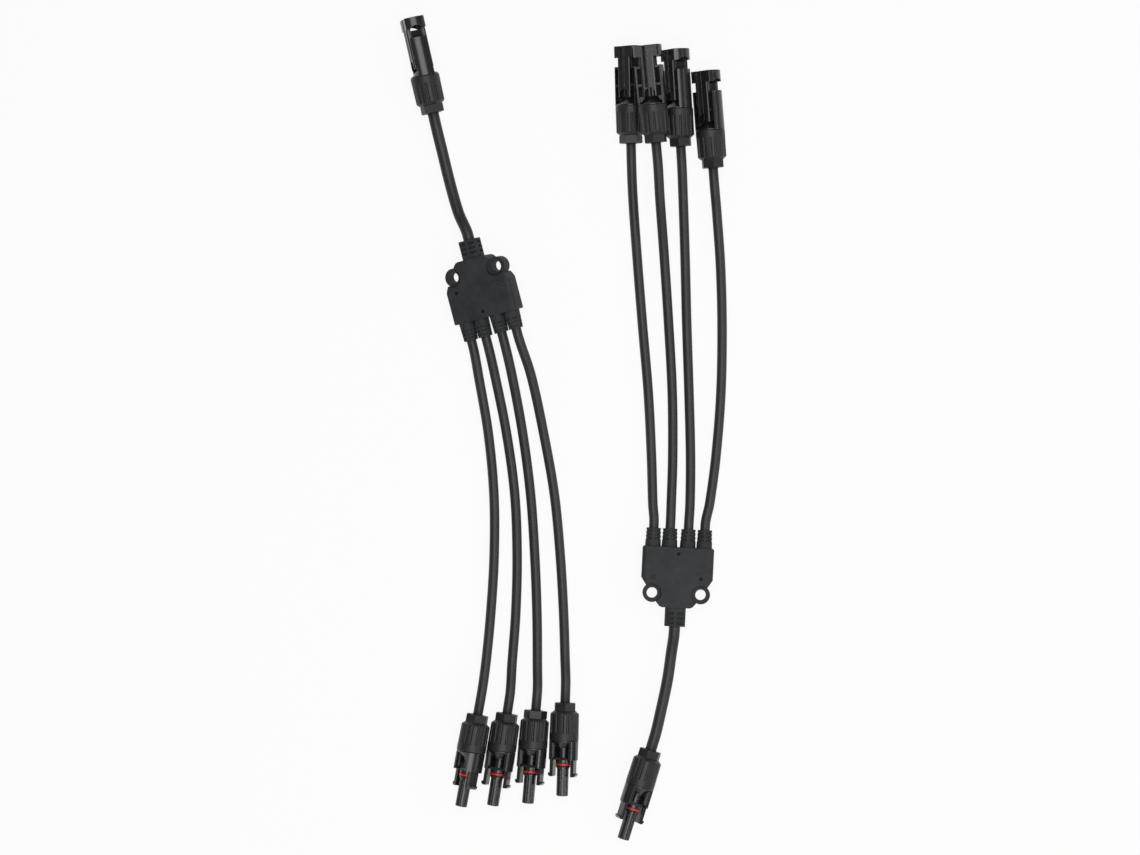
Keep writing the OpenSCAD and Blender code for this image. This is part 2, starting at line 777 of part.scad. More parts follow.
// Trunk strain relief, pointing away from the block along +y. Its slots are pockets in
// the four faces, so the corners stay whole.
module trunk_relief() {
    slot_len = 1.7;
    slot_pitch = 3.1;
    first_slot = 1.5;
    slot_depth = 1.9;
    web = 2.2;
    corner = 1.5;
    side_slot_w = 4.4;
    edge_r = 4;
    pocket_w = trunk_relief_w / 2 - corner - web / 2;
    translate([0, block_len, 0])
        rotate([-90, 0, 0])
            difference() {
                translate([0, 0, -2])
                    linear_extrude(height = trunk_relief_len + 2)
                        round_bar(trunk_relief_w, trunk_relief_thick, edge_r);
                for (row = [0:2])
                    translate([0, 0, trunk_relief_len - first_slot - slot_len - row * slot_pitch])
                        for (face = [0, 180])
                            rotate([0, 0, face]) {
                                for (x = [web / 2, -web / 2 - pocket_w])
                                    translate([x, trunk_relief_thick / 2 - slot_depth, 0])
                                        cube([pocket_w, slot_depth + 1, slot_len]);
                                translate([trunk_relief_w / 2 - slot_depth, -side_slot_w / 2, 0])
                                    cube([slot_depth + 1, side_slot_w, slot_len]);
                            }
            }
}

// Copper splice bar with a crimp barrel for each conductor
module splice_shape(bored) {
    bar_half = branch_at[3] + branch_core_d / 2 + crimp_wall;
    bar_thick = 4;
    difference() {
        union() {
            translate([-bar_half, splice_bar[0], -bar_thick / 2])
                cube([2 * bar_half, splice_bar[1] - splice_bar[0], bar_thick]);
            for (u = branch_at)
                translate([u, splice_bar[0] + eps, 0])
                    rotate([90, 0, 0])
                        cylinder(h = splice_bar[0] - splice_start + eps, r = branch_core_d / 2 + crimp_wall);
            translate([0, splice_bar[1] - eps, 0])
                rotate([-90, 0, 0])
                    cylinder(h = splice_end - splice_bar[1] + eps, r = trunk_core_d / 2 + crimp_wall);
        }
        if (bored)
            block_core_ends(bare_len);
    }
}

// The bare conductor ends that lie in the barrels of a splice bar
module block_core_ends(length) {
    for (u = branch_at)
        translate([u, branch_cable_end + bare_len, 0])
            rotate([90, 0, 0])
                cylinder(h = length, d = branch_core_d);
    translate([0, trunk_cable_end - bare_len, 0])
        rotate([-90, 0, 0])
            cylinder(h = length, d = trunk_core_d);
}

module block_housing() {
    mark_r = 1.2;
    mark_depth = 3;
    // The marks lie near the corners of the straight sides, and one near the branch end face
    mark_in = [8, 0.5];
    mark_corner = [block_w / 2 - mark_in[0], block_side_len - mark_in[1]];
    marks_at = [[0, 4.2], [-mark_corner[0], mark_corner[1]]];
    ring_mark_r = [0.9, 1.4];
    ring_mark_depth = 0.3;
    recess = (block_thick - eyelet_thick) / 2;
    color("#3b3c3e")
        difference() {
            union() {
                difference() {
                    intersection() {
                        translate([0, 0, -block_thick / 2])
                            linear_extrude(height = block_thick)
                                block_outline();
                        translate([0, -1, 0])
                            rotate([-90, 0, 0])
                                linear_extrude(height = block_len + 2)
                                    round_bar(block_w, block_thick, block_edge_r);
                    }
                    // The eyelets are set down from both faces
                    for (s = [-1, 1])
                        for (z = [-block_thick / 2 - 1, block_thick / 2 - recess])
                            translate([s * eyelet_span / 2, eyelet_at, z])
                                cylinder(h = recess + 1, d = eyelet_d);
                }
                for (s = [-1, 1])
                    translate([s * eyelet_span / 2, eyelet_at, -eyelet_thick / 2])
                        cylinder(h = eyelet_thick, d = eyelet_d);
                for (u = branch_at)
                    translate([u, 0, 0])
                        branch_relief();
                trunk_relief();
            }
            for (s = [-1, 1])
                translate([s * eyelet_span / 2, eyelet_at, -block_thick])
                    cylinder(h = 2 * block_thick, d = eyelet_hole_d);
            // Two deep pin marks and one ring mark in the upper face
            for (at = marks_at)
                translate([at[0], at[1], block_thick / 2 - mark_depth])
                    cylinder(h = mark_depth + 1, r = mark_r);
            translate([mark_corner[0], mark_corner[1], block_thick / 2 - ring_mark_depth])
                difference() {
                    cylinder(h = 1, r = ring_mark_r[1]);
                    translate([0, 0, -1])
                        cylinder(h = 3, r = ring_mark_r[0]);
                }
            for (u = branch_at)
                translate([u, splice_start + eps, 0])
                    rotate([90, 0, 0])
                        cylinder(h = splice_start + branch_relief_len + 1, d = branch_cable_d);
            translate([0, splice_end - eps, 0])
                rotate([-90, 0, 0])
                    cylinder(h = block_len + trunk_relief_len - splice_end + 1, d = trunk_cable_d);
            splice_shape(false);
        }
}

module connector_core(place, core_d) {
    at_connector(place)
        cut_bore(core_d / 2, cable_end, core_end);
}

// Whether a connector is on a trunk cable
function is_trunk(name) = name == "a" || name == "b";
function cable_d_of(name) = is_trunk(name) ? trunk_cable_d : branch_cable_d;
function core_d_of(name) = is_trunk(name) ? trunk_core_d : branch_core_d;

module conductors(letter, place) {
    color("#b87345") {
        at_block(place)
            block_core_ends(bare_len);
        for (pair = CONNECTORS)
            if (letter == (pair[0][0]) && (len(pair[0]) > 1))
                connector_core(pair[1], branch_core_d);
        connector_core(value_of(letter == "a" ? SOCKETS : PLUGS, letter), trunk_core_d);
    }
}

// Names of the branches, with the connector and the place across the block of each.
// On block B the trunk points down, so its branches count from the other side.
BRANCHES = [
    for (i = [0:3]) [str("a", i + 1), value_of(PLUGS, str("a", i + 1)), BLOCK_A,
        (i < 2 ? -1 : 1) * (branch_gap / 2 + (i == 0 || i == 3 ? branch_pitch : 0))],
    for (i = [0:3]) [str("b", i + 1), value_of(SOCKETS, str("b", i + 1)), BLOCK_B,
        (i < 2 ? 1 : -1) * (branch_gap / 2 + (i == 0 || i == 3 ? branch_pitch : 0))],
];
TRUNKS = [
    ["a_trunk", value_of(SOCKETS, "a"), BLOCK_A],
    ["b_trunk", value_of(PLUGS, "b"), BLOCK_B],
];

NODES = concat(
    ["block_a", "block_b", "splice_a", "splice_b", "conductors_a", "conductors_b"],
    [for (b = BRANCHES) str("cable_", b[0])],
    [for (t = TRUNKS) str("cable_", t[0])],
    [for (p = PLUGS) each [str("plug_body_", p[0]), str("latch_left_", p[0]), str("latch_right_", p[0]),
        str("plug_nut_", p[0]), str("plug_cage_", p[0])]],
    [for (s = SOCKETS) each [str("socket_body_", s[0]), str("socket_nut_", s[0]), str("socket_cage_", s[0])]],
    ["tube_contacts", "pin_contacts", "o_rings", "cable_seals"]
);

function shown(name) = node == "all" || node == name;

if (shown("block_a")) at_block(BLOCK_A) block_housing();
if (shown("block_b")) at_block(BLOCK_B) block_housing();
if (shown("splice_a")) color("#b87345") at_block(BLOCK_A) splice_shape(true);
if (shown("splice_b")) color("#b87345") at_block(BLOCK_B) splice_shape(true);
if (shown("conductors_a")) conductors("a", BLOCK_A);
if (shown("conductors_b")) conductors("b", BLOCK_B);
for (b = BRANCHES)
    if (shown(str("cable_", b[0])))
        color("#3a3b3d") tube(branch_route(b[0], b[1], b[2], b[3]), branch_cable_d);
for (t = TRUNKS)
    if (shown(str("cable_", t[0])))
        color("#3a3b3d") tube(trunk_route(t[0], t[1], t[2]), trunk_cable_d);
for (p = PLUGS) {
    if (shown(str("plug_body_", p[0]))) at_connector(p[1]) plug_body();
    if (shown(str("latch_left_", p[0]))) at_connector(p[1]) mirror([1, 0, 0]) latch_arm();
    if (shown(str("latch_right_", p[0]))) at_connector(p[1]) latch_arm();
    if (shown(str("plug_nut_", p[0]))) at_connector(p[1]) gland_nut(p[1][5]);
    if (shown(str("plug_cage_", p[0]))) at_connector(p[1]) clamp_cage();
}
for (s = SOCKETS) {
    if (shown(str("socket_body_", s[0]))) at_connector(s[1]) socket_body();
    if (shown(str("socket_nut_", s[0]))) at_connector(s[1]) gland_nut(s[1][5]);
    if (shown(str("socket_cage_", s[0]))) at_connector(s[1]) clamp_cage();
}
if (shown("tube_contacts")) for (p = PLUGS) at_connector(p[1]) tube_contact(core_d_of(p[0]));
if (shown("pin_contacts")) for (s = SOCKETS) at_connector(s[1]) pin_contact(core_d_of(s[0]));
if (shown("o_rings")) for (p = PLUGS) at_connector(p[1]) o_ring();
if (shown("cable_seals")) for (c = CONNECTORS) at_connector(c[1]) cable_seal(cable_d_of(c[0]));
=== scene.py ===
"""Finishes, cables, floor and lights for a matched pair of four-way solar branch harnesses."""
import json
import math

import bpy
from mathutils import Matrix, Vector


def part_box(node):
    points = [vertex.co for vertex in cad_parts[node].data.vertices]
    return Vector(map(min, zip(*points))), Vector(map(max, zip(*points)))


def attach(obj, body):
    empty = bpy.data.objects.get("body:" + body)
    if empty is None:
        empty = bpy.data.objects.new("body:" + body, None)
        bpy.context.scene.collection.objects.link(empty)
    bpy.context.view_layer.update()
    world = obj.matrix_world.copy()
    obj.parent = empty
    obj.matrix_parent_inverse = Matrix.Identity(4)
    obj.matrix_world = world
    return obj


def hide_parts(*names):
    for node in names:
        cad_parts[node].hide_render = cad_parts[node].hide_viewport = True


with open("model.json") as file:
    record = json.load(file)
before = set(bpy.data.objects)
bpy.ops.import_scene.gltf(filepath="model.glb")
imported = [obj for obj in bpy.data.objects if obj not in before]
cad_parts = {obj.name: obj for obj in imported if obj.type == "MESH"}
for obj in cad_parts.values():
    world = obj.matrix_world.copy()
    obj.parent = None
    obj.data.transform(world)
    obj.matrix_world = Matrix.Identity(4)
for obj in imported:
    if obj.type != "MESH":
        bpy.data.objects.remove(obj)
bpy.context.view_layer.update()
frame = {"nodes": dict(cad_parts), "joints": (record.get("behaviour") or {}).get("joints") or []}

# Camera, straight above the pair, with the long axis of the harnesses up the frame
LENS_HEIGHT = 3.0
LENS_OVER = (0.0043, -0.0003)
LENS_MM = 144.2
SENSOR_MM = 36
NEAREST_SEEN = 0.01
FARTHEST_SEEN = 20

# Along a connector, from the rear of its gland nut
NUT_LENGTH = 0.0246
CABLE_END = 0.0200
BRANCH_RUN = 0.010
TRUNK_RUN = 0.008

# Along a block, from the end face that the branches leave
BLOCK_LENGTH = 0.0395
BRANCH_RELIEF = 0.012
TRUNK_RELIEF = 0.0123
RELIEF_RUN = 0.003
BRANCH_CABLE_END = 0.0094
TRUNK_CABLE_END = 0.0286
BRANCH_PITCH = 0.0108
BRANCH_GAP = 0.012

# How far each socket is rolled about its axis, in degrees
SOCKET_ROLLS = {"a": -76.5, "b1": -36, "b2": -10, "b3": -53, "b4": -37}

# The hollows of a socket's body, where shade is painted into its colour. Heights and widths are half
# sizes, from the axis
BARREL_HALF_WIDTH = 0.0049
BARREL_HALF_HEIGHT = 0.0066
BARREL_START = 0.0357
PANEL_INNER = 0.0074
PANEL_HALF_HEIGHT = 0.00535
WINDOW_START = 0.0302
# Stretches over which a hollow's painted shade sets in: sharp at a panel, softer at an end or a groove
SHARP_EDGE = 0.0001
SOFT_EDGE = 0.0004
# A groove's painted shade ends this far inside the barrel's outer faces
GROOVE_INSET = 0.0002
# The share of a side panel's half height that is fully dark with painted shade
PANEL_SHADED_SHARE = 0.45

# Cables. A tube is drawn with rings between the points of its centre line
BRANCH_CABLE = 0.0064
TRUNK_CABLE = 0.0074
BRANCH_STEPS = 4
TRUNK_STEPS = 5
TUBE_SIDES = 28
RINGS_PER_STEP = 3

# Where each block lies: middle of its branch end face, turn and tilt in degrees
BLOCKS = {
    "block_a": ((-0.0486, 0.0722), 14.6, 25),
    "block_b": ((0.0754, -0.0788), 177.15, 0),
}

# The free stretch of each cable, from the straight run behind its connector to the one at its block
ROUTES = {
    "a1": [
        (-0.0509, -0.155, 0.0056), (-0.0477, -0.122, 0.0032), (-0.0455, -0.085, 0.0032),
        (-0.0456, -0.045, 0.0032), (-0.0492, -0.005, 0.0032), (-0.0556, 0.033, 0.0058),
    ],
    "a2": [
        (-0.0337, -0.155, 0.0056), (-0.0313, -0.122, 0.0032), (-0.0304, -0.085, 0.0032),
        (-0.0319, -0.045, 0.0032), (-0.0372, -0.005, 0.0038), (-0.0447, 0.033, 0.0088),
    ],
    "a3": [
        (-0.0171, -0.155, 0.0056), (-0.0174, -0.122, 0.0032), (-0.0188, -0.085, 0.0032),
        (-0.0215, -0.045, 0.0032), (-0.0266, -0.005, 0.0050), (-0.0335, 0.033, 0.0124),
    ],
    "a4": [
        (0.0010, -0.150, 0.0056), (0.0000, -0.120, 0.0032), (-0.0022, -0.083, 0.0032),
        (-0.0060, -0.044, 0.0034), (-0.0130, -0.004, 0.0068), (-0.0212, 0.034, 0.0158),
    ],
    "b1": [
        (0.0456, 0.150, 0.0054), (0.0483, 0.112, 0.0032), (0.0518, 0.068, 0.0032),
        (0.0557, 0.022, 0.0032), (0.0578, -0.020, 0.0034), (0.0586, -0.050, 0.0058),
    ],
    "b2": [
        (0.0630, 0.149, 0.0202), (0.0660, 0.112, 0.0084), (0.0690, 0.068, 0.0032),
        (0.0714, 0.022, 0.0032), (0.0717, -0.020, 0.0034), (0.0707, -0.050, 0.0058),
    ],
    "b3": [
        (0.0785, 0.150, 0.0056), (0.0798, 0.112, 0.0032), (0.0809, 0.068, 0.0032),
        (0.0824, 0.022, 0.0032), (0.0834, -0.020, 0.0034), (0.0830, -0.050, 0.0058),
    ],
    "b4": [
        (0.1006, 0.140, 0.0056), (0.1031, 0.105, 0.0032), (0.1041, 0.065, 0.0032),
        (0.1033, 0.022, 0.0032), (0.1000, -0.020, 0.0034), (0.0959, -0.050, 0.0058),
    ],
    "a_trunk": [(-0.0793, 0.180, 0.0076), (-0.0744, 0.160, 0.0074), (-0.0686, 0.140, 0.0110)],
    "b_trunk": [(0.0639, -0.186, 0.0072), (0.0682, -0.166, 0.0046), (0.0708, -0.148, 0.0048)],
}


# ---------------------------------------------------------------- camera

def overhead_camera():
    camera = bpy.data.cameras.new("overhead")
    camera.lens = LENS_MM
    camera.sensor_width = SENSOR_MM
    camera.clip_start = NEAREST_SEEN
    camera.clip_end = FARTHEST_SEEN
    rig = bpy.data.objects.new("overhead", camera)
    rig.location = (*LENS_OVER, LENS_HEIGHT)
    bpy.context.scene.collection.objects.link(rig)
    bpy.context.scene.camera = rig


# ---------------------------------------------------------------- cables

def connector_axis(name):
    """The rear end of a connector's gland nut, and the direction in which its cable leaves."""
    joint = next(j for j in frame["joints"] if j["name"] == name + "_nut_turn")
    rearward = Vector(joint["axis"])
    return Vector(joint["pos_m"]) + rearward * NUT_LENGTH / 2, rearward


def block_point(block, across, along):
    """A point in the middle plane of a block, across it and along it from its branch end face."""
    (x, y), turn, tilt = BLOCKS[block]
    low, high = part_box(block)
    turn, tilt = math.radians(turn), math.radians(tilt)
    return Vector((
        x + across * math.cos(tilt) * math.cos(turn) - along * math.sin(turn),
        y + across * math.cos(tilt) * math.sin(turn) + along * math.cos(turn),
        (low.z + high.z) / 2 + across * math.sin(tilt),
    ))


def smooth_line(points, steps):
    """A smooth line through all the points, with its first and last stretch straight."""
    line = [points[0]]
    for i in range(1, len(points) - 2):
        before, start, end, after = points[i - 1:i + 3]
        span = (end - start).length
        leave = (end - before).normalized() if i > 1 else (start - before).normalized()
        arrive = (after - start).normalized() if i < len(points) - 3 else (after - end).normalized()
        for step in range(steps):
            t = step / steps
            line.append(
                start * (2 * t ** 3 - 3 * t ** 2 + 1)
                + leave * span * (t ** 3 - 2 * t ** 2 + t)
                + end * (3 * t ** 2 - 2 * t ** 3)
                + arrive * span * (t ** 3 - t ** 2)
            )
    return line + points[-2:]


def swept_tube(name, line, radius):
    """A round tube along a line, closed at both ends. Each ring follows the last without a twist."""
    points, faces = [], []
    across = (line[1] - line[0]).cross(Vector((0, 0, 1))).normalized()
    for i, centre in enumerate(line):
        ahead = (line[min(i + 1, len(line) - 1)] - line[max(i - 1, 0)]).normalized()
        across = (across - ahead * across.dot(ahead)).normalized()
        up = ahead.cross(across)
        for side in range(TUBE_SIDES):
            angle = 2 * math.pi * side / TUBE_SIDES
            points.append(centre + (across * math.cos(angle) + up * math.sin(angle)) * radius)
    for i in range(len(line) - 1):
        for side in range(TUBE_SIDES):
            here, beside = i * TUBE_SIDES + side, i * TUBE_SIDES + (side + 1) % TUBE_SIDES
            faces.append((here, beside, beside + TUBE_SIDES, here + TUBE_SIDES))
    last = (len(line) - 1) * TUBE_SIDES
    faces.append(tuple(range(TUBE_SIDES - 1, -1, -1)))
    faces.append(tuple(range(last, last + TUBE_SIDES)))
    mesh = bpy.data.meshes.new(name)
    mesh.from_pydata(points, [], faces)
    mesh.shade_smooth()
    for cap in mesh.polygons[-2:]:
        cap.use_smooth = False
    piece = bpy.data.objects.new(name, mesh)
    bpy.context.scene.collection.objects.link(piece)
    return piece


def cable(name, connector, run, entry, diameter, steps):
    """One cable, from inside a connector to inside a block."""
    rear, rearward = connector_axis(connector)
    inner = rear - rearward * CABLE_END
    knots = [inner, rear + rearward * run, *[Vector(p) for p in ROUTES[name]], *entry]
    line = smooth_line(knots, steps * RINGS_PER_STEP)
    # Where the cable lies on the floor, it lies flat
    for point in line:
        point.z = max(point.z, diameter / 2)
    piece = swept_tube("cable_" + name + "_jacket", line, diameter / 2)
    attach(piece, "root")
    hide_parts("cable_" + name)
    [tuple(point) for point in smooth_line(knots, steps)]
    return piece


BRANCH_LENGTHS = {
    "a1": 0.29, "a2": 0.29, "a3": 0.29, "a4": 0.29,
    "b1": 0.29, "b2": 0.30, "b3": 0.29, "b4": 0.28,
}
TRUNK_LENGTHS = {"a_trunk": 0.13, "b_trunk": 0.13}


def all_cables():
    """Every cable's jacket: four branches and one trunk for each harness."""
    inner = BRANCH_GAP / 2
    places = [-inner - BRANCH_PITCH, -inner, inner, inner + BRANCH_PITCH]
    made = []
    for name, length in BRANCH_LENGTHS.items():
        harness, number = name[0], int(name[1])
        connector = ("plug_" if harness == "a" else "socket_") + name
        block = "block_" + harness
        # Block B lies the other way round, so its branches count from the other side
        across = places[number - 1] if harness == "a" else places[4 - number]
        entry = [
            block_point(block, across, -BRANCH_RELIEF - RELIEF_RUN),
            block_point(block, across, BRANCH_CABLE_END),
        ]
        made.append(cable(name, connector, BRANCH_RUN, entry, BRANCH_CABLE, BRANCH_STEPS))
    for name, length in TRUNK_LENGTHS.items():
        harness = name[0]
        connector = ("socket_" if harness == "a" else "plug_") + harness
        block = "block_" + harness
        entry = [
            block_point(block, 0, BLOCK_LENGTH + TRUNK_RELIEF + RELIEF_RUN),
            block_point(block, 0, TRUNK_CABLE_END),
        ]
        made.append(cable(name, connector, TRUNK_RUN, entry, TRUNK_CABLE, TRUNK_STEPS))
    return made


# ---------------------------------------------------------------- finishes

class Value:
    """One output of a node. Sums, differences and products add the Math nodes they need."""

    def __init__(self, graph, output):
        self.graph = graph
        self.output = output

    def also(self, name):
        """Another output of the same node."""
        return Value(self.graph, self.output.node.outputs[name])

    def __add__(self, other):
        return self.graph.math("ADD", self, other)

    __radd__ = __add__

    def __sub__(self, other):
        return self.graph.math("SUBTRACT", self, other)

    def __rsub__(self, other):
        return self.graph.math("SUBTRACT", other, self)

    def __mul__(self, other):
        return self.graph.math("MULTIPLY", self, other)

    __rmul__ = __mul__

    def __abs__(self):
        return self.graph.math("ABSOLUTE", self)


class Graph:
    """The nodes of a material or of the world."""

    def __init__(self, owner):
        owner.use_nodes = True
        self.nodes = owner.node_tree.nodes
        self.links = owner.node_tree.links

    def node(self, kind, values=None, out=0, **settings):
        """Adds any node: its settings first, then the values or links of its sockets."""
        made = self.nodes.new(kind)
        for setting, value in settings.items():
            setattr(made, setting, value)
        for socket, value in (values or {}).items():
            if isinstance(value, Value):
                self.links.new(value.output, made.inputs[socket])
            else:
                made.inputs[socket].default_value = value
        return Value(self, made.outputs[out]) if made.outputs else None

    def math(self, operation, first, second=0.0):
        return self.node("ShaderNodeMath", {0: first, 1: second}, operation=operation)

    def vector_math(self, operation, first, second, out="Vector"):
        return self.node("ShaderNodeVectorMath", {0: first, 1: second}, out=out, operation=operation)

    def step(self, value, low, high):
        """0 below low, 1 above high, smooth between."""
        values = {"Value": value, "From Min": low, "From Max": high}
        return self.node("ShaderNodeMapRange", values, interpolation_type="SMOOTHSTEP")


class Finish(Graph):
    """A material: one Principled surface, and the nodes that feed it."""

    def __init__(self, name, **fixed):
        self.material = bpy.data.materials.new(name)
        super().__init__(self.material)
        self.surface = self.nodes["Principled BSDF"]
        for socket, number in fixed.items():
            self.surface.inputs[socket.replace("_", " ")].default_value = number
        self.place = self.node("ShaderNodeTexCoord", out="Object")

    def feed(self, **sockets):
        """Links values to sockets of the surface."""
        for socket, value in sockets.items():
            self.links.new(value.output, self.surface.inputs[socket.replace("_", " ")])

    def stretched(self, x=1.0, y=1.0, z=1.0):
        return self.vector_math("MULTIPLY", self.place, (x, y, z))

    def noise(self, size, detail=2.0, roughness=0.5, place=None):
        """Cloudy noise from 0 to 1, with features about size metres across."""
        place = place or self.place
        values = {"Vector": place, "Scale": 1 / size, "Detail": detail, "Roughness": roughness}
        return self.node("ShaderNodeTexNoise", values)

    def blend(self, share, dark, light):
        """A colour between two colours."""
        return self.node("ShaderNodeMix", {0: share, 6: dark, 7: light}, out=2, data_type="RGBA")

    def soft_edges(self, radius):
        """The normal with its edges rounded off, and how near an edge is, from 0 to 1."""
        rounded = self.node("ShaderNodeBevel", {"Radius": radius}, samples=6)
        true = self.node("ShaderNodeNewGeometry", out="Normal")
        along = self.vector_math("DOT_PRODUCT", rounded, true, out="Value")
        return rounded, self.step(1 - along, 0.01, 0.22)

    def bump(self, height, distance, normal=None):
        """The surface pushed in and out by height, at most distance metres."""
        values = {"Height": height, "Distance": distance, "Strength": 1.0}
        if normal:
            values["Normal"] = normal
        return self.node("ShaderNodeBump", values)

    def along(self, origin, direction):
        """How far a point lies from an origin along a direction, in metres."""
        away = self.vector_math("SUBTRACT", self.place, tuple(origin))
        return self.vector_math("DOT_PRODUCT", away, tuple(direction), out="Value")


def shade(level, tint=(1.0, 1.0, 1.0)):
    return tuple(level * t for t in tint) + (1.0,)


COOL = (0.97, 1.0, 1.05)


def moulded_plastic(name, level, roughness, grain, radius, edge_level, specular, hollows=None):
    """Black moulded plastic: a spark-eroded grain, faint flow clouds, and edges rubbed a little paler.

    Where hollows are given, shade is painted into their colour, as dark as the shadow in a deep narrow
    hollow. They are also made rough, so that they take no sheen.
    """
    finish = Finish(name, Specular_IOR_Level=specular)
    rounded, edge = finish.soft_edges(radius)
    clouds = finish.noise(0.011, 3.0)
    patches = finish.noise(0.0028, 2.0)
    tooth = finish.noise(0.00035, 2.0, 0.6)
    scuff = finish.step(finish.noise(0.004, 4.0, 0.7, finish.stretched(1.0, 0.18, 1.0)), 0.62, 0.78)
    tone = clouds * 0.5 + patches * 0.3 + tooth * 0.2
    dark, light = shade(level * 0.78, COOL), shade(level * 1.22, COOL)
    base = finish.blend(finish.step(tone, 0.32, 0.68), dark, light)
    colour = finish.blend(edge * 0.55 + scuff * 0.10, base, shade(edge_level, COOL))
    gloss = clouds * 0.10 + patches * 0.06 + scuff * 0.06 + (roughness - 0.09)
    if hollows:
        # Painted shade: in the hollows the colour goes dark, as in shadow, and the roughness goes high
        hollow_shade = hollows(finish)
        colour = finish.blend(hollow_shade, colour, shade(level * 0.3, COOL))
        gloss = gloss * (1 - hollow_shade) + hollow_shade * 0.95
    finish.feed(
        Base_Color=colour,
        Roughness=gloss,
        Normal=finish.bump(tooth * 0.6 + patches * 0.4, grain, rounded),
    )
    return finish.material


def socket_hollow_shade(name):
    """Where shade is painted into a socket's body: in its hollows between its barrel and side panels,
    and in its key grooves.
    """
    rear, rearward = connector_axis("socket_" + name)
    ahead = -rearward
    left = Vector((0, 0, 1)).cross(ahead)
    roll = math.radians(SOCKET_ROLLS[name])
    out_of_face = Vector((0, 0, 1)) * math.cos(roll) - left * math.sin(roll)
    to_side = out_of_face.cross(ahead)

    def hollows(finish):
        height = abs(finish.along(rear, out_of_face))
        side = abs(finish.along(rear, to_side))
        forward = finish.along(rear, ahead)

        low = 1 - finish.step(height, PANEL_HALF_HEIGHT * PANEL_SHADED_SHARE, PANEL_HALF_HEIGHT)
        between = 1 - finish.step(side, PANEL_INNER - SHARP_EDGE, PANEL_INNER + SHARP_EDGE)
        past_funnel = finish.step(forward, WINDOW_START, WINDOW_START + SOFT_EDGE)

        top, flank = BARREL_HALF_HEIGHT - GROOVE_INSET, BARREL_HALF_WIDTH - GROOVE_INSET
        below_top = 1 - finish.step(height, top - SOFT_EDGE, top)
        inside_width = 1 - finish.step(side, flank - GROOVE_INSET, flank)
        past_start = finish.step(forward, BARREL_START, BARREL_START + SOFT_EDGE)

        # Painted shade fills the windows beside the barrel and the barrel's grooves
        beside_barrel = low * between * past_funnel
        in_groove = below_top * inside_width * past_start
        return finish.math("MAXIMUM", beside_barrel, in_groove)

    return hollows


def extruded_jacket():
    """The cables' jacket: satin black, with faint lines drawn along it by the die."""
    finish = Finish("cable_jacket", Specular_IOR_Level=0.4)
    lines = finish.noise(0.0009, 3.0, 0.6, finish.stretched(1.0, 0.03, 1.0))
    clouds = finish.noise(0.018, 3.0)
    tooth = finish.noise(0.0004, 2.0, 0.6)
    dust = finish.step(finish.noise(0.0016, 5.0, 0.75), 0.66, 0.80)
    tone = finish.step(lines * 0.45 + clouds * 0.4 + tooth * 0.15, 0.34, 0.66)
    base = finish.blend(tone, shade(0.015, COOL), shade(0.024, COOL))
    finish.feed(
        Base_Color=finish.blend(dust * 0.18, base, shade(0.12, COOL)),
        Roughness=lines * 0.14 + clouds * 0.08 + 0.34,
        Normal=finish.bump(lines * 0.6 + tooth * 0.4, 0.00004),
    )
    return finish.material


def red_silicone():
    """The O-rings: bright red rubber, a little oily."""
    finish = Finish("o_ring_rubber", Coat_Weight=0.35, Coat_Roughness=0.18)
    clouds = finish.noise(0.0012, 3.0)
    tooth = finish.noise(0.0003, 2.0)
    deep_red, bright_red = (0.36, 0.007, 0.013, 1), (0.50, 0.014, 0.022, 1)
    finish.feed(
        Base_Color=finish.blend(finish.step(clouds, 0.3, 0.7), deep_red, bright_red),
        Roughness=clouds * 0.16 + 0.26,
        Normal=finish.bump(tooth * 0.5 + clouds * 0.5, 0.00003),
    )
    return finish.material


def seal_rubber():
    """The cable seals: dull black rubber."""
    finish = Finish("seal_rubber")
    clouds = finish.noise(0.002, 3.0)
    finish.feed(
        Base_Color=finish.blend(clouds, shade(0.010), shade(0.026)),
        Roughness=clouds * 0.2 + 0.55,
        Normal=finish.bump(finish.noise(0.0004), 0.00003),
    )
    return finish.material


def metal(name, dark, light, roughness):
    """Drawn contact metal, with turning marks and a light tarnish."""
    finish = Finish(name, Metallic=1.0)
    turning = finish.noise(0.0003, 2.0, 0.5, finish.stretched(0.2, 1.0, 0.2))
    tarnish = finish.noise(0.003, 4.0, 0.6)
    finish.feed(
        Base_Color=finish.blend(finish.step(tarnish, 0.3, 0.7), dark, light),
        Roughness=turning * 0.15 + tarnish * 0.12 + roughness,
        Normal=finish.bump(turning, 0.00002),
    )
    return finish.material


# Each plastic: how light it is, how rough, how deep its grain and how wide and light its edges
BLOCK_PLASTIC = {
    "level": 0.033, "roughness": 0.58, "grain": 0.00006,
    "radius": 0.0005, "edge_level": 0.048, "specular": 0.13,
}
NUT_PLASTIC = {
    "level": 0.013, "roughness": 0.46, "grain": 0.00006,
    "radius": 0.0003, "edge_level": 0.040, "specular": 0.40,
}
BODY_PLASTIC = {
    "level": 0.009, "roughness": 0.23, "grain": 0.00003,
    "radius": 0.0003, "edge_level": 0.032, "specular": 0.62,
}
CAGE_PLASTIC = {
    "level": 0.030, "roughness": 0.50, "grain": 0.00004,
    "radius": 0.0002, "edge_level": 0.060, "specular": 0.50,
}

FINISHES = {
    "block_moulding": moulded_plastic("block_moulding", **BLOCK_PLASTIC),
    "nut_plastic": moulded_plastic("nut_plastic", **NUT_PLASTIC),
    "body_plastic": moulded_plastic("body_plastic", **BODY_PLASTIC),
    "cage_plastic": moulded_plastic("cage_plastic", **CAGE_PLASTIC),
    "cable_jacket": extruded_jacket(),
    "seal_rubber": seal_rubber(),
    "o_ring_rubber": red_silicone(),
    "contact_metal": metal("contact_metal", (0.58, 0.56, 0.52, 1), (0.78, 0.76, 0.72, 1), 0.18),
    "copper": metal("copper", (0.52, 0.20, 0.10, 1), (0.80, 0.40, 0.24, 1), 0.22),
}
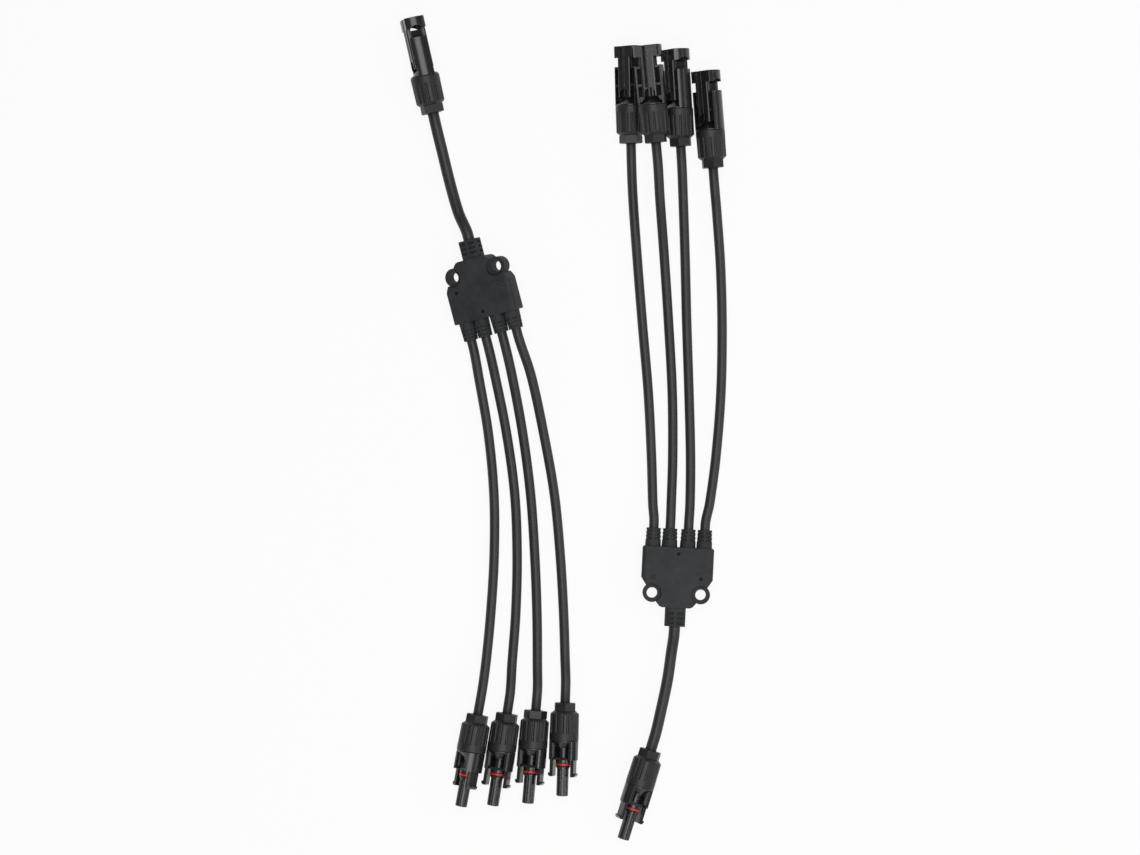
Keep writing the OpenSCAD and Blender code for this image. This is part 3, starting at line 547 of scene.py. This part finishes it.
# A socket's body has a finish of its own, which knows where its hollows are and paints shade into them
for socket in SOCKET_ROLLS:
    FINISHES["socket_body_" + socket] = moulded_plastic(
        "socket_plastic_" + socket, hollows=socket_hollow_shade(socket), **BODY_PLASTIC)

# The finish of each kind of solid, by a word in its name
FINISH_OF = [
    ("block", "block_moulding"),
    ("nut", "nut_plastic"),
    ("cage", "cage_plastic"),
    ("body", "body_plastic"),
    ("latch", "body_plastic"),
    ("seals", "seal_rubber"),
    ("rings", "o_ring_rubber"),
    ("contacts", "contact_metal"),
    ("splice", "copper"),
    ("conductors", "copper"),
    ("cable", "cable_jacket"),
]


def dress(piece, slot):
    piece.data.materials.clear()
    piece.data.materials.append(FINISHES[slot])


def dress_solids():
    """Gives every solid its finish."""
    for name, node in frame["nodes"].items():
        slot = next(slot for word, slot in FINISH_OF if word in name)
        dress(node, name if name in FINISHES else slot)


# ---------------------------------------------------------------- floor and lights

FLOOR_HALF = 6.0
FLOOR_DROP = 0.0001
FLOOR_ALBEDO = 0.80
FLOOR_WHITE_SHARE = 0.90
ROOM_LEVEL = 0.25

# Each softbox: where it hangs, the point it faces, its size in metres and its power in watts
SOFTBOXES = {
    "overhead_box": ((0.15, 0.0, 1.60), (0.05, 0.0, 0.0), (1.7, 1.2), 20),
    "front_strip": ((0.1, -1.6, 0.62), (0.0, -0.1, 0.0), (1.0, 0.3), 5),
    "right_strip": ((1.5, -0.1, 0.85), (0.0, -0.1, 0.0), (0.9, 0.22), 5),
}


def pale_surface(name, albedo, share):
    """A plain pale surface to the light. To the eye and in reflections it is nearly white.

    The share that stays plain keeps the object's shadow.
    """
    material = bpy.data.materials.new(name)
    graph = Graph(material)
    graph.nodes.clear()
    camera = graph.node("ShaderNodeLightPath", out="Is Camera Ray")
    seen = camera + camera.also("Is Glossy Ray") + camera.also("Is Transmission Ray")
    plain = graph.node("ShaderNodeBsdfDiffuse", {"Color": (albedo, albedo, albedo, 1)})
    white = graph.node("ShaderNodeEmission")
    mix = graph.node("ShaderNodeMixShader", {0: seen * share, 1: plain, 2: white})
    graph.node("ShaderNodeOutputMaterial", {0: mix})
    return material


def pale_floor():
    mesh = bpy.data.meshes.new("floor")
    turns = [(-1, -1), (1, -1), (1, 1), (-1, 1)]
    mesh.from_pydata([(FLOOR_HALF * x, FLOOR_HALF * y, 0) for x, y in turns], [], [(0, 1, 2, 3)])
    mesh.materials.append(pale_surface("pale_floor", FLOOR_ALBEDO, FLOOR_WHITE_SHARE))
    floor = bpy.data.objects.new("floor", mesh)
    floor.location.z = -FLOOR_DROP
    bpy.context.scene.collection.objects.link(floor)


def soft_world(level):
    world = bpy.data.worlds.new("studio")
    bpy.context.scene.world = world
    graph = Graph(world)
    graph.nodes["Background"].inputs["Color"].default_value = (1, 1, 1, 1)
    graph.nodes["Background"].inputs["Strength"].default_value = level


def softbox(name, at, towards, size, watts):
    lamp = bpy.data.lights.new(name, "AREA")
    lamp.shape = "RECTANGLE"
    lamp.size, lamp.size_y = size
    lamp.energy = watts
    box = bpy.data.objects.new(name, lamp)
    box.location = at
    box.rotation_euler = (Vector(towards) - Vector(at)).to_track_quat("-Z", "Y").to_euler()
    box.visible_camera = False
    bpy.context.scene.collection.objects.link(box)


def studio():
    pale_floor()
    soft_world(ROOM_LEVEL)
    for name, (at, towards, size, watts) in SOFTBOXES.items():
        softbox(name, at, towards, size, watts)


# ---------------------------------------------------------------- putting it together

overhead_camera()
for jacket in all_cables():
    dress(jacket, "cable_jacket")
dress_solids()
studio()
bpy.context.scene.view_settings.view_transform = "Standard"
